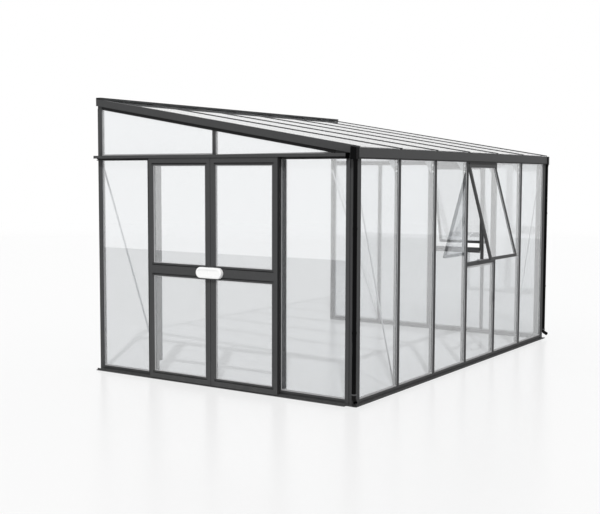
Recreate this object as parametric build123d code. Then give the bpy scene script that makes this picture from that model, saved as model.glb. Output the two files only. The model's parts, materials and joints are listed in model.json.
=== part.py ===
"""Lean-to glass greenhouse: aluminium glazing bars on a base frame, glass walls and roof,
double sliding doors in one gable, an eaves gutter with downpipes and two top-hung vents held open.

House coordinates while modelling, in millimetres: x runs along the wall from the door gable,
y from the front face to the wall, z up from the ground. The finished pieces are moved so that
the origin is the middle of the footprint, at ground level.
"""
import os
from math import cos, hypot, radians, sin, tan

from build123d import *

# House grid
bay = 718
front_bays = 6
gable_bays = 4
corner_x = 33            # gable face to the first grid line of the front
corner_y = 58            # front face to the first grid line of the gables
eaves_height = 2064      # underside of the gutter
roof_front_rise = 104    # eaves to the top line of the roof, over the front face
roof_pitch = 9.49        # degrees
vent_bay = 4             # bay of the front that holds a vent, counted from the door gable
far_vent_bay = 2         # bay of the far gable that holds a vent, counted from the front

# Glazing bar, measured across the bar and inwards from its outer face
cap_width = 34
cap_depth = 10
wall_glass = 5
neck_width = 10
flange_width = 34
flange_depth = 4
web_width = 14
bar_depth = 56
pane_bite = 10           # how far a pane sits in a rail's slot
pane_gap = 2             # edge clearance between a pane and a neck

# Corner post, an angle with a groove down its gable face
front_leg = 67
gable_leg = 105
corner_bite = 12
post_groove_start = 52
post_groove_width = 17
post_groove_depth = 8
wall_post_width = 50

# Base frame
base_height = 46
base_step_height = 28    # the lower part of the outer face stands back
base_step_depth = 6
base_flange_thick = 8
front_flange = 25
front_flange_overhang = 28
far_flange = 50
anchor_hole_radius = 5
anchor_inset = 160

# Roof
roof_glass = 6
roof_cap_depth = 5
roof_web_depth = 60      # top of the cap to the foot of the web
eave_overhang = 8        # panes and caps reach this far past the front face
rake_stand = 18          # outer face of the rake in front of the gable face
rake_inner = 38
rake_neck = 20
rake_band = 66           # deep outer band, over a lip that stands back
rake_lip_step = 16
rake_depth = 94
rake_bite = 8
ridge_web = 6
ridge_height = 80
ridge_hood = 60
ridge_hood_thick = 6
ridge_hood_gap = 6
ridge_nose = 4
ridge_nose_gap = 1
ridge_overhang = 20
wall_hole_radius = 4.5
wall_hole_drop = 58      # top of the ridge plate to the fixing holes
wall_hole_pairs = 3

# Gutter and downpipes
gutter_front = 16        # fascia in front of the front face
gutter_height = 90
gutter_floor = 5
gutter_wall = 6
gutter_back_wall = 6
gutter_lip = 10
gutter_lip_thick = 6
drip_height = 10         # undercut along the foot of the fascia
drip_step = 3
end_cap_thick = 5
outlet_length = 55       # outlet box past each gable face
outlet_front = 23        # box before the front face
outlet_back = 34
outlet_drop = 7          # box below the underside of the gutter
outlet_wall = 4
pipe_radius = 18.5
pipe_wall = 2
pipe_x = -30
pipe_y = -2
shoe_turn_height = 78
shoe_reach = 34
shoe_drop = 30
shoe_bend_radius = 26
collar_radius = 22
collar_height = 12
collar_base = 100

# Gable transoms, which reach from the eaves to the top of the door track
transom_rise = 44
transom_bite_share = 0.25

# Door track and floor guide
track_reach = 65
track_drop = 46
track_plate = 5
track_lip = 4
track_lip_drop = 27
track_start = 75         # front end of the track and of the guide
ledge_reach = 22
ledge_thick = 3
rail_bead_width = 5
rail_bead_height = 6
guide_reach = 60
guide_plate = 6
guide_rib_width = 5
guide_rib_height = 14

# Door leaves
leaf_width = 733
leaf_gap = 5             # between the two meeting stiles
leaf_stand = 56          # outer face of the leaf in front of the gable face
leaf_thick = 28
leaf_bottom = 12
leaf_head_gap = 11
leaf_face = 40           # raised face of the stiles
leaf_lip = 24            # recessed glazing lip inside the rails' face
stile_lip = 18           # sloped glazing lip inside the stiles' face
leaf_lip_recess = 8
leaf_bead_depth = 5
leaf_groove_width = 8
leaf_groove_depth = 7
mid_rail_height = 1044   # middle of the middle rail
mid_rail_face = 76
top_rail_face = 58
bottom_rail_face = 44
door_glass = 4
door_bite = 10
guide_slot_width = 16
guide_slot_depth = 16
wheel_radius = 14
wheel_groove_radius = 11.5
wheel_width = 12
wheel_groove_width = 7
axle_radius = 5
wheel_inset = 95
running_gap = 0.3
pull_length = 290
pull_height = 100
pull_stand = 38
pull_edge_radius = 12
pull_dish_inset = 22
pull_dish_depth = 4
edge_seal_width = 17     # rubber profile on the outer edge of each leaf
edge_seal_thick = 14
edge_seal_recess = 7

# Vents
vent_sill_height = 1050  # top of the sill rail
vent_sill_depth = 36
sash_foot_gap = 6
sash_side_gap = 5
sash_thick = 24
sash_face = 30
sash_glass = 4
sash_bite = 8
vent_angle = 15          # degrees open
hinge_drop = 17          # eaves to the hinge line
hinge_radius = 6
hinge_plate = 6
hinge_web = 4
stay_width = 18
stay_thick = 5
stay_foot_start = 12
stay_foot_length = 30
stay_foot_height = 14

# Braces and knee plates
brace_width = 20
brace_thick = 4
brace_head_drop = 60
brace_foot_rise = 40
knee_thick = 4
knee_drop = 130
knee_reach = 125
knee_inset = 6
knee_edge = 24

overrun = 40             # cutters reach this far past what they cut

# Sizes that follow from those above
length = 2 * corner_x + front_bays * bay
wall_y = corner_y + gable_bays * bay
front_grid = [corner_x + number * bay for number in range(front_bays + 1)]
gable_grid = [corner_y + number * bay for number in range(gable_bays + 1)]
glass_in = cap_depth
glass_out = cap_depth + wall_glass
flange_end = glass_out + flange_depth
slope = tan(radians(roof_pitch))
gutter_back = bar_depth
roof_glass_top = roof_cap_depth
roof_glass_foot = roof_cap_depth + roof_glass


def roof_z(y):
    """Height of the roof's top line at depth y."""
    return eaves_height + roof_front_rise + slope * y


transom_top = eaves_height + transom_rise
transom_bite = min(pane_bite, transom_bite_share * transom_rise)
leaf_top = transom_top - track_plate - leaf_head_gap
ridge_y = wall_y - ridge_web
ridge_top = roof_z(wall_y) + ridge_hood_gap + ridge_hood_thick
vent_sill_base = vent_sill_height - vent_sill_depth
sash_width = bay - cap_width - 2 * sash_side_gap
hinge_height = eaves_height - hinge_drop
sash_head = hinge_height - hinge_radius - running_gap
sash_height = sash_head - vent_sill_height - sash_foot_gap

# Directions
LONG, DEEP, UP = (1, 0, 0), (0, 1, 0), (0, 0, 1)
BACK, FORE = (-1, 0, 0), (0, -1, 0)

nodes = {}


def prism(outline, start, first, second, depth):
    """Extrudes an outline whose coordinates run along the first and second directions."""
    normal = Vector(*first).cross(Vector(*second))
    plane = Plane(origin=start, x_dir=first, z_dir=normal)
    return extrude(plane * make_face(Polyline(*outline, close=True)), amount=depth)


def sloped(outline, y_start, y_end):
    """Runs an upright section of (x, depth below the roof's top line) up the roof's slope."""
    points = [(x, y_start, roof_z(y_start) - depth) for x, depth in outline]
    section = Face(Wire.make_polygon(points, close=True))
    return Part(Solid.extrude(section, (0, y_end - y_start, slope * (y_end - y_start))).wrapped)


def block(low, high):
    """A box between two corners."""
    size = [top - base for base, top in zip(low, high)]
    return Pos(*low) * Box(*size, align=(Align.MIN, Align.MIN, Align.MIN))


def opposite(shape):
    """The same piece at the other gable."""
    return mirror(shape, about=Plane(origin=(length / 2, 0, 0), x_dir=DEEP, z_dir=LONG))


def above_rake_line(low_x, high_x, y_start, y_end):
    """Everything over the underside of a rake, for cutting post heads to the slope."""
    return sloped([(low_x, -overrun), (high_x, -overrun), (high_x, rake_depth), (low_x, rake_depth)],
                  y_start, y_end)


def flat_bar(start, end, width):
    """Outline of a flat bar from one point to another."""
    run, rise = end[0] - start[0], end[1] - start[1]
    across = (-rise * width / 2 / hypot(run, rise), run * width / 2 / hypot(run, rise))
    return [(start[0] - across[0], start[1] - across[1]), (end[0] - across[0], end[1] - across[1]),
            (end[0] + across[0], end[1] + across[1]), (start[0] + across[0], start[1] + across[1])]


# Upright bars

def glazing_bar_outline():
    """T-bar with an outer cap, a neck between two panes, an inner flange and a web."""
    half = [(cap_width / 2, 0), (cap_width / 2, glass_in), (neck_width / 2, glass_in),
            (neck_width / 2, glass_out), (flange_width / 2, glass_out), (flange_width / 2, flange_end),
            (web_width / 2, flange_end), (web_width / 2, bar_depth)]
    return half + [(-across, inward) for across, inward in reversed(half)]


def corner_post():
    outline = [(0, 0), (front_leg, 0), (front_leg, glass_in), (front_leg - corner_bite, glass_in),
               (front_leg - corner_bite, glass_out), (front_leg, glass_out), (front_leg, flange_end),
               (bar_depth, flange_end), (bar_depth, bar_depth), (flange_end, bar_depth),
               (flange_end, gable_leg), (glass_out, gable_leg), (glass_out, gable_leg - corner_bite),
               (glass_in, gable_leg - corner_bite), (glass_in, gable_leg), (0, gable_leg),
               (0, post_groove_start + post_groove_width),
               (post_groove_depth, post_groove_start + post_groove_width),
               (post_groove_depth, post_groove_start), (0, post_groove_start)]
    return prism(outline, (0, 0, 0), LONG, DEEP, eaves_height)


def wall_post():
    outline = [(0, 0), (wall_post_width, 0), (wall_post_width, glass_in),
               (wall_post_width - corner_bite, glass_in), (wall_post_width - corner_bite, glass_out),
               (wall_post_width, glass_out), (wall_post_width, flange_end),
               (wall_post_width - corner_bite, flange_end), (wall_post_width - corner_bite, bar_depth),
               (0, bar_depth)]
    post = prism(outline, (0, wall_y, 0), FORE, LONG, ridge_top)
    return post - above_rake_line(-overrun, bar_depth + overrun, wall_y - bay, wall_y + overrun)


def gable_bar(y, low, high):
    """Glazing bar of the door gable."""
    return prism(glazing_bar_outline(), (0, y, low), FORE, LONG, high - low)


def gable_centre_bar():
    """Short bar over the transom, cut to the rake."""
    y = gable_grid[gable_bays // 2]
    bar = gable_bar(y, transom_top, roof_z(y))
    return bar - above_rake_line(-overrun, bar_depth + overrun, y - cap_width, y + cap_width)


def front_mullion(x):
    return prism(glazing_bar_outline(), (x, 0, base_height), LONG, DEEP, eaves_height - base_height)


nodes["near_front_post"] = [corner_post()]
nodes["far_front_post"] = [opposite(corner_post())]
nodes["near_wall_post"] = [wall_post()]
nodes["far_wall_post"] = [opposite(wall_post())]
for number, grid_x in enumerate(front_grid[1:-1], start=1):
    nodes[f"front_mullion_{number}"] = [front_mullion(grid_x)]
nodes["right_door_jamb"] = [gable_bar(gable_grid[1], base_height, eaves_height)]
nodes["left_door_jamb"] = [gable_bar(gable_grid[gable_bays - 1], base_height, eaves_height)]
nodes["far_gable_posts"] = [opposite(gable_bar(y, base_height, eaves_height)) for y in gable_grid[1:-1]]
nodes["gable_centre_bars"] = [gable_centre_bar(), opposite(gable_centre_bar())]


# Base frame

def base_outline(flange):
    """Rail section: foot, glass slot in the top, a step in the outer face and a flange outside."""
    return [(-flange, 0), (bar_depth, 0), (bar_depth, base_height), (glass_out, base_height),
            (glass_out, base_height - pane_bite), (glass_in, base_height - pane_bite),
            (glass_in, base_height), (0, base_height), (0, base_step_height),
            (base_step_depth, base_step_height), (base_step_depth, base_flange_thick),
            (-flange, base_flange_thick)]


def front_base_rail():
    rail = prism(base_outline(front_flange), (front_leg, 0, 0), DEEP, UP, length - 2 * front_leg)
    rail += block((-front_flange_overhang, -front_flange, 0),
                  (length + front_flange_overhang, 0, base_flange_thick))
    rail += block((-front_flange_overhang, 0, 0), (0, track_start, base_flange_thick))
    rail += block((length, 0, 0), (length + front_flange_overhang, gable_leg, base_flange_thick))
    for x in anchor_places():
        rail -= Pos(x, -front_flange / 2, 0) * Cylinder(anchor_hole_radius, overrun)
    return rail


def anchor_places():
    inner = [front_grid[2], front_grid[front_bays - 2]]
    return [anchor_inset, *inner, length - anchor_inset]


def gable_rail_run():
    return wall_y - wall_post_width - gable_leg


nodes["front_base_rail"] = [front_base_rail()]
nodes["far_gable_base_rail"] = [prism(base_outline(far_flange), (length, gable_leg, 0), BACK, UP,
                                      gable_rail_run())]
nodes["near_gable_base_rail"] = [prism(base_outline(-base_step_depth / 2), (0, wall_y - wall_post_width, 0),
                                       LONG, UP, gable_rail_run())]


# Transoms, vent rails

def gable_transom():
    """Rail with a glass slot above and below, its front end cut to the rake."""
    slot_head = transom_rise - transom_bite
    outline = [(0, 0), (glass_in, 0), (glass_in, transom_bite), (glass_out, transom_bite), (glass_out, 0),
               (bar_depth, 0), (bar_depth, transom_rise), (glass_out, transom_rise), (glass_out, slot_head),
               (glass_in, slot_head), (glass_in, transom_rise), (0, transom_rise)]
    rail_end = wall_y - wall_post_width
    rail = prism(outline, (0, rail_end, eaves_height), LONG, UP, rail_end - gutter_back)
    return rail - above_rake_line(-overrun, bar_depth + overrun, gutter_back, rail_end)


nodes["near_gable_transom"] = [gable_transom()]
nodes["far_gable_transom"] = [opposite(gable_transom())]


# Gutter and downpipes

def gutter():
    """Channel with a drip undercut below its fascia."""
    floor = eaves_height + gutter_floor
    rim = eaves_height + gutter_height
    outline = [(drip_step - gutter_front, eaves_height), (gutter_back, eaves_height),
               (gutter_back, roof_z(gutter_back) - roof_glass_foot),
               (gutter_back - gutter_back_wall, roof_z(gutter_back - gutter_back_wall) - roof_glass_foot),
               (gutter_back - gutter_back_wall, floor), (gutter_wall - gutter_front, floor),
               (gutter_wall - gutter_front, rim - gutter_lip_thick),
               (gutter_lip - gutter_front, rim - gutter_lip_thick), (gutter_lip - gutter_front, rim),
               (-gutter_front, rim), (-gutter_front, eaves_height + drip_height),
               (drip_step - gutter_front, eaves_height + drip_height)]
    return prism(outline, (0, 0, 0), DEEP, UP, length)


def gutter_end_cap():
    """Plate over the gutter's end, with an outlet box outside it that stands over the downpipe."""
    rim = eaves_height + gutter_height
    floor = eaves_height - outlet_drop
    outline = [(-gutter_front, eaves_height), (gutter_back, eaves_height), (gutter_back, rim),
               (-gutter_front, rim)]
    cap = prism(outline, (-end_cap_thick, 0, 0), DEEP, UP, end_cap_thick)
    cap += block((-outlet_length, -outlet_front, floor), (-end_cap_thick, outlet_back, rim))
    cap -= block((outlet_wall - outlet_length, outlet_wall - outlet_front, floor + outlet_wall),
                 (-end_cap_thick, outlet_back - outlet_wall, rim + overrun))
    cap -= block((-end_cap_thick - outlet_wall, gutter_wall - gutter_front, eaves_height + gutter_floor),
                 (0, outlet_back - outlet_wall, rim + overrun))
    return cap - Pos(pipe_x, pipe_y, floor) * Cylinder(pipe_radius - pipe_wall, overrun)


def downpipe():
    """Tube from the outlet box to a shoe that turns outwards over the corner."""
    head = (pipe_x, pipe_y, eaves_height - outlet_drop)
    turn = (pipe_x, pipe_y, shoe_turn_height)
    mouth = (pipe_x - shoe_reach, pipe_y - shoe_reach, shoe_turn_height - shoe_drop)
    path = FilletPolyline(head, turn, mouth, radius=shoe_bend_radius)
    section = Plane(head, z_dir=(0, 0, -1)) * (
        Circle(pipe_radius) - Circle(pipe_radius - pipe_wall))
    return sweep(section, path=path)


def downpipe_collar():
    ring = Circle(collar_radius) - Circle(pipe_radius)
    return Pos(pipe_x, pipe_y, collar_base) * extrude(ring, amount=collar_height)


nodes["eaves_gutter"] = [gutter()]
nodes["gutter_end_caps"] = [gutter_end_cap(), opposite(gutter_end_cap())]
nodes["near_downpipe"] = [downpipe()]
nodes["far_downpipe"] = [opposite(downpipe())]
nodes["downpipe_collars"] = [downpipe_collar(), opposite(downpipe_collar())]


# Roof

def rake():
    """Gable rafter: cap and glass slot on top, a deep outer band, a lip with the gable glass slot below."""
    head = [(-rake_stand, 0), (rake_inner, 0), (rake_inner, roof_glass_top), (rake_neck, roof_glass_top),
            (rake_neck, roof_glass_foot)]
    body = [(rake_inner, roof_glass_foot), (rake_inner, rake_depth), (glass_out, rake_depth),
            (glass_out, rake_depth - rake_bite), (glass_in, rake_depth - rake_bite), (glass_in, rake_depth),
            (rake_lip_step - rake_stand, rake_depth), (rake_lip_step - rake_stand, rake_band),
            (-rake_stand, rake_band)]
    tail = sloped(head + [(-rake_stand, roof_glass_foot)], -eave_overhang, gutter_back)
    track_room = block((-overrun, gutter_back, eaves_height), (0, wall_y, transom_top))
    return sloped(head + body, gutter_back, ridge_y) + tail - track_room


def roof_bar(x):
    head = [(-cap_width / 2, 0), (cap_width / 2, 0), (cap_width / 2, roof_glass_top),
            (neck_width / 2, roof_glass_top), (neck_width / 2, roof_glass_foot),
            (-neck_width / 2, roof_glass_foot), (-neck_width / 2, roof_glass_top),
            (-cap_width / 2, roof_glass_top)]
    flange_foot = roof_glass_foot + flange_depth
    stem = [(-flange_width / 2, roof_glass_foot), (flange_width / 2, roof_glass_foot),
            (flange_width / 2, flange_foot), (web_width / 2, flange_foot), (web_width / 2, roof_web_depth),
            (-web_width / 2, roof_web_depth), (-web_width / 2, flange_foot),
            (-flange_width / 2, flange_foot)]
    place = [[(x + across, depth) for across, depth in outline] for outline in (head, stem)]
    return sloped(place[0], -eave_overhang, ridge_y) + sloped(place[1], gutter_back, ridge_y)


def roof_pane(low_x, high_x):
    outline = [(low_x, roof_glass_top), (high_x, roof_glass_top), (high_x, roof_glass_foot),
               (low_x, roof_glass_foot)]
    return sloped(outline, -eave_overhang, ridge_y)


def ridge_plate():
    """Wall plate with fixing holes, and a hood over the head of the roof."""
    nose_y = wall_y - ridge_hood
    hood_foot = ridge_top - ridge_hood_thick
    outline = [(wall_y, ridge_top - ridge_height), (wall_y, ridge_top), (nose_y, ridge_top),
               (nose_y, roof_z(nose_y + ridge_nose) + ridge_nose_gap),
               (nose_y + ridge_nose, roof_z(nose_y + ridge_nose) + ridge_nose_gap),
               (nose_y + ridge_nose, hood_foot), (ridge_y, hood_foot), (ridge_y, ridge_top - ridge_height)]
    plate = prism(outline, (-ridge_overhang, 0, 0), DEEP, UP, length + 2 * ridge_overhang)
    for x in wall_hole_places():
        hole = Cylinder(wall_hole_radius, overrun, rotation=(90, 0, 0))
        plate -= Pos(x, wall_y, ridge_top - wall_hole_drop) * hole
    return plate


def wall_hole_places():
    """Pairs of holes in mid bay, spread evenly from both ends."""
    first = [front_grid[number] + bay / 2 for number in range(wall_hole_pairs)]
    return first + [length - x for x in first]


nodes["near_rake"] = [rake()]
nodes["far_rake"] = [opposite(rake())]
nodes["ridge_wall_plate"] = [ridge_plate()]
nodes["roof_bars"] = [roof_bar(x) for x in front_grid[1:-1]]

bar_edge = neck_width / 2 + pane_gap
roof_starts = [rake_neck + pane_gap] + [x + bar_edge for x in front_grid[1:-1]]
roof_ends = [x - bar_edge for x in front_grid[1:-1]] + [length - rake_neck - pane_gap]
nodes["roof_panes"] = [roof_pane(low, high) for low, high in zip(roof_starts, roof_ends)]


# Wall glass

def rectangle(low_u, low_z, high_u, high_z):
    return [(low_u, low_z), (high_u, low_z), (high_u, high_z), (low_u, high_z)]


def front_pane(outline):
    return prism(outline, (0, glass_out, 0), LONG, UP, wall_glass)


def gable_pane(outline):
    return prism(outline, (glass_in, 0, 0), DEEP, UP, wall_glass)


pane_foot = base_height - pane_bite
front_starts = [front_leg - corner_bite + pane_gap] + [x + bar_edge for x in front_grid[1:-1]]
front_ends = [x - bar_edge for x in front_grid[1:-1]] + [length - front_leg + corner_bite - pane_gap]
front_heads = [eaves_height] * front_bays
front_heads[vent_bay - 1] = vent_sill_base + pane_bite
nodes["front_panes"] = [front_pane(rectangle(low, pane_foot, high, head))
                        for low, high, head in zip(front_starts, front_ends, front_heads)]

gable_starts = [gable_leg - corner_bite + pane_gap] + [y + bar_edge for y in gable_grid[1:-1]]
gable_ends = [y - bar_edge for y in gable_grid[1:-1]] + [wall_y - wall_post_width + corner_bite - pane_gap]
gable_heads = [eaves_height + transom_bite] * gable_bays
fixed_panes = [gable_pane(rectangle(low, pane_foot, high, head))
               for low, high, head in zip(gable_starts, gable_ends, gable_heads)]


def gable_top_pane(low_y, high_y):
    """Pane over the transom, with its head along the rake."""
    foot = transom_top - transom_bite
    heads = [roof_z(y) - rake_depth + rake_bite for y in (low_y, high_y)]
    return gable_pane([(low_y, foot), (high_y, foot), (high_y, heads[1]), (low_y, heads[0])])


centre_y = gable_grid[gable_bays // 2]
rake_meets_transom = (transom_rise - roof_front_rise + rake_depth) / slope
top_panes = [gable_top_pane(max(gable_leg, rake_meets_transom), centre_y - bar_edge),
             gable_top_pane(centre_y + bar_edge, gable_ends[-1])]
nodes["near_gable_panes"] = [fixed_panes[0], fixed_panes[-1]] + top_panes

vent_low = gable_pane(rectangle(gable_starts[far_vent_bay - 1], pane_foot, gable_ends[far_vent_bay - 1],
                                vent_sill_base + pane_bite))
far_low = [vent_low if number == far_vent_bay else pane for number, pane in enumerate(fixed_panes, start=1)]
nodes["far_gable_panes"] = [opposite(pane) for pane in far_low + top_panes]


# Vents, made in a frame with x along the wall, y inwards and z up

def vent_sill():
    flange_half = (bay - flange_width) / 2
    cap_half = (bay - cap_width) / 2
    cap = block((-cap_half, 0, vent_sill_base), (cap_half, glass_in, vent_sill_height))
    inner = block((-flange_half, glass_out, vent_sill_base), (flange_half, bar_depth, vent_sill_height))
    bridge = block((-cap_half, glass_in, vent_sill_base + pane_bite),
                   (cap_half, glass_out, vent_sill_height))
    return cap + inner + bridge


def hinge_rail():
    """Plate under the eaves with a round bead that the sash hooks on."""
    half = sash_width / 2
    plate = block((-half, -hinge_radius, eaves_height - hinge_plate), (half, bar_depth, eaves_height))
    web = block((-half, -hinge_web / 2, hinge_height), (half, hinge_web / 2, eaves_height - hinge_plate))
    bead = Pos(0, 0, hinge_height) * Cylinder(hinge_radius, sash_width, rotation=(0, 90, 0))
    return plate + web + bead


def swung_open(shape):
    """Turns a closed vent piece outwards about the hinge line."""
    return shape.rotate(Axis((0, 0, hinge_height), LONG), -vent_angle)


def sash_frame():
    half = sash_width / 2
    foot = sash_head - sash_height
    frame = block((-half, 0, foot), (half, sash_thick, sash_head))
    frame -= block((sash_face - half, -overrun, foot + sash_face),
                   (half - sash_face, overrun, sash_head - sash_face))
    return swung_open(frame - sash_glass_block())


def sash_glass_block():
    """The pane and the slot that holds it."""
    reach = sash_width / 2 - sash_face + sash_bite
    head = sash_head - sash_face + sash_bite
    foot = head - sash_height + 2 * (sash_face - sash_bite)
    front = (sash_thick - sash_glass) / 2
    return block((-reach, front, foot), (reach, front + sash_glass, head))


def vent_stay():
    """Arm from a foot on the sill rail to the bottom rail of the open sash."""
    foot_end = stay_foot_start + stay_foot_length
    drop = hinge_radius + running_gap + sash_height - sash_face / 2
    lean = radians(vent_angle)
    tip_y = sash_thick / 2 * cos(lean) - drop * sin(lean)
    tip_z = hinge_height - sash_thick / 2 * sin(lean) - drop * cos(lean)
    foot_top = vent_sill_height + stay_foot_height
    outline = [(foot_end, vent_sill_height), (foot_end, foot_top), (stay_foot_start, foot_top),
               (tip_y, tip_z + stay_thick / 2), (tip_y, tip_z - stay_thick / 2),
               (stay_foot_start, foot_top - stay_thick), (stay_foot_start, vent_sill_height)]
    arm = prism(outline, (-stay_width / 2, 0, 0), DEEP, UP, stay_width)
    return arm - sash_frame()


vent_x = front_grid[vent_bay - 1] + bay / 2
vent_y = gable_grid[far_vent_bay - 1] + bay / 2
in_front = Plane(origin=(vent_x, 0, 0), x_dir=LONG, z_dir=UP)
in_far_gable = Plane(origin=(length, vent_y, 0), x_dir=DEEP, z_dir=UP)


def both_vents(piece):
    return [in_front * piece, in_far_gable * piece]


nodes["vent_sill_rails"] = both_vents(vent_sill())
nodes["vent_hinge_rails"] = both_vents(hinge_rail())
nodes["front_vent_sash"] = [in_front * sash_frame()]
nodes["far_vent_sash"] = [in_far_gable * sash_frame()]
nodes["vent_panes"] = both_vents(swung_open(sash_glass_block()))
nodes["vent_stays"] = both_vents(vent_stay())


# Knee plates and braces

def knee_plate(x):
    """Gusset on the side of a mullion's web and of the roof bar's web."""
    outer = gutter_back + pane_gap
    inner = gutter_back + knee_reach
    foot = eaves_height - knee_drop
    outline = [(knee_edge, foot), (bar_depth - knee_inset, foot), (inner, roof_z(inner) - roof_web_depth),
               (inner, roof_z(inner) - knee_edge), (outer, roof_z(outer) - knee_edge),
               (outer, eaves_height - pane_gap), (knee_edge, eaves_height - pane_gap)]
    return prism(outline, (x + web_width / 2, 0, 0), DEEP, UP, knee_thick)


brace_head = eaves_height - brace_head_drop
brace_foot = base_height + brace_foot_rise
post_middle = (flange_end + bar_depth) / 2
front_brace = prism(flat_bar((post_middle, brace_head), (front_grid[1], brace_foot), brace_width),
                    (0, bar_depth + brace_thick, 0), LONG, UP, brace_thick)
wall_middle = wall_y - (wall_post_width - corner_bite) / 2
left_jamb_foot = (gable_grid[gable_bays - 1], brace_foot)
gable_brace = prism(flat_bar(left_jamb_foot, (wall_middle, brace_head), brace_width),
                    (bar_depth, 0, 0), DEEP, UP, brace_thick)
nodes["knee_plates"] = [knee_plate(x) for x in front_grid[1:-1]]
nodes["diagonal_braces"] = [front_brace, opposite(front_brace), gable_brace, opposite(gable_brace)]


# Door gear

track_foot = transom_top - track_drop
rail_top = track_foot + ledge_thick + rail_bead_height
wheel_height = rail_top + running_gap + wheel_groove_radius
rail_x = -ledge_reach / 2 - ledge_thick
guide_x = leaf_thick / 2 - leaf_stand


def door_track():
    """Hood over the leaves, with a ledge and a bead that the wheels run on."""
    lip_foot = transom_top - track_lip_drop
    bead = rail_bead_width / 2
    ledge_top = track_foot + ledge_thick
    under = transom_top - track_plate
    outline = [(0, track_foot), (0, transom_top), (-track_reach, transom_top), (-track_reach, lip_foot),
               (track_lip - track_reach, lip_foot), (track_lip - track_reach, under),
               (-track_plate, under), (-track_plate, ledge_top), (rail_x + bead, ledge_top),
               (rail_x + bead, rail_top), (rail_x - bead, rail_top), (rail_x - bead, ledge_top),
               (-ledge_reach, ledge_top), (-ledge_reach, track_foot)]
    return prism(outline, (0, wall_y, 0), LONG, UP, wall_y - track_start)


def floor_guide():
    """Plate on the ground outside the base rail, with a rib that keeps the leaves upright."""
    rib = guide_rib_width / 2
    rib_top = guide_plate + guide_rib_height
    outline = [(0, 0), (0, guide_plate), (guide_x + rib, guide_plate), (guide_x + rib, rib_top),
               (guide_x - rib, rib_top), (guide_x - rib, guide_plate), (-guide_reach, guide_plate),
               (-guide_reach, 0)]
    tongue = block((0, gable_leg, 0), (base_step_depth / 2, wall_y - wall_post_width, guide_plate))
    return prism(outline, (0, wall_y, 0), LONG, UP, wall_y - track_start) + tongue


nodes["door_top_track"] = [door_track()]
nodes["door_floor_guide"] = [floor_guide()]


# Door leaves, made for the right-hand leaf and mirrored about the meeting line

leaf_inner = centre_y - leaf_gap / 2
leaf_outer = leaf_inner - leaf_width
leaf_rim = leaf_face + stile_lip
mid_rail_half = mid_rail_face / 2 + leaf_lip
leaf_openings = [(leaf_bottom + bottom_rail_face + leaf_lip, mid_rail_height - mid_rail_half),
                 (mid_rail_height + mid_rail_half, leaf_top - top_rail_face - leaf_lip)]


def leaf_cut(low_z, high_z, margin, low_x, high_x):
    """A block as large as a pane opening grown by a margin."""
    return block((low_x, leaf_outer + leaf_rim - margin, low_z - margin),
                 (high_x, leaf_inner - leaf_rim + margin, high_z + margin))


def door_panes():
    front = -leaf_stand + leaf_lip_recess + (leaf_thick - leaf_lip_recess - door_glass) / 2
    return [leaf_cut(low, high, door_bite, front, front + door_glass) for low, high in leaf_openings]


def rail_recess(edge_z, away):
    """Recessed lip and groove of a rail beside a pane; away is 1 above the pane and -1 below it."""
    face_z = edge_z + away * leaf_lip
    groove_z = face_z - away * leaf_groove_width
    lip = block((-leaf_stand - overrun, leaf_outer + leaf_face, min(edge_z, face_z)),
                (leaf_lip_recess - leaf_stand, leaf_inner - leaf_face, max(edge_z, face_z)))
    groove = block((-leaf_stand, leaf_outer + leaf_face, min(groove_z, face_z)),
                   (leaf_lip_recess + leaf_groove_depth - leaf_stand, leaf_inner - leaf_face,
                    max(groove_z, face_z)))
    return lip + groove


def stile_bead(low_z, high_z, face_y, away):
    """Slope from a stile's face down towards the pane; away is the direction to the pane."""
    edge_y = face_y + away * stile_lip
    outline = [(-leaf_stand, face_y), (-leaf_stand, edge_y), (leaf_bead_depth - leaf_stand, edge_y)]
    return prism(outline, (0, 0, low_z), LONG, DEEP, high_z - low_z)


def door_leaf():
    """Framed leaf: raised face, lips round two panes, grooved rails, a slot for the floor guide."""
    outer_x = -leaf_stand
    leaf = block((outer_x, leaf_outer, leaf_bottom), (outer_x + leaf_thick, leaf_inner, leaf_top))
    for low, high in leaf_openings:
        leaf -= rail_recess(low, -1) + rail_recess(high, 1)
        leaf -= stile_bead(low, high, leaf_outer + leaf_face, 1)
        leaf -= stile_bead(low, high, leaf_inner - leaf_face, -1)
        leaf -= leaf_cut(low, high, 0, outer_x - overrun, overrun)
    for pane in door_panes():
        leaf -= pane
    slot = guide_slot_width / 2
    return leaf - block((guide_x - slot, leaf_outer - overrun, leaf_bottom - overrun),
                        (guide_x + slot, leaf_inner + overrun, leaf_bottom + guide_slot_depth))


def door_wheel(y):
    """Grooved wheel on a stub axle at the back of the top rail."""
    axle_end = leaf_thick - leaf_stand
    rim, groove = wheel_width / 2, wheel_groove_width / 2
    outline = [(axle_end, 0), (axle_end, axle_radius), (rail_x - rim, axle_radius),
               (rail_x - rim, wheel_radius), (rail_x - groove, wheel_radius),
               (rail_x - groove, wheel_groove_radius),
               (rail_x + groove, wheel_groove_radius), (rail_x + groove, wheel_radius),
               (rail_x + rim, wheel_radius), (rail_x + rim, 0)]
    plane = Plane(origin=(0, y, wheel_height), x_dir=LONG, z_dir=FORE)
    return revolve(plane * make_face(Polyline(*outline, close=True)), axis=Axis((0, y, wheel_height), LONG))


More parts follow.
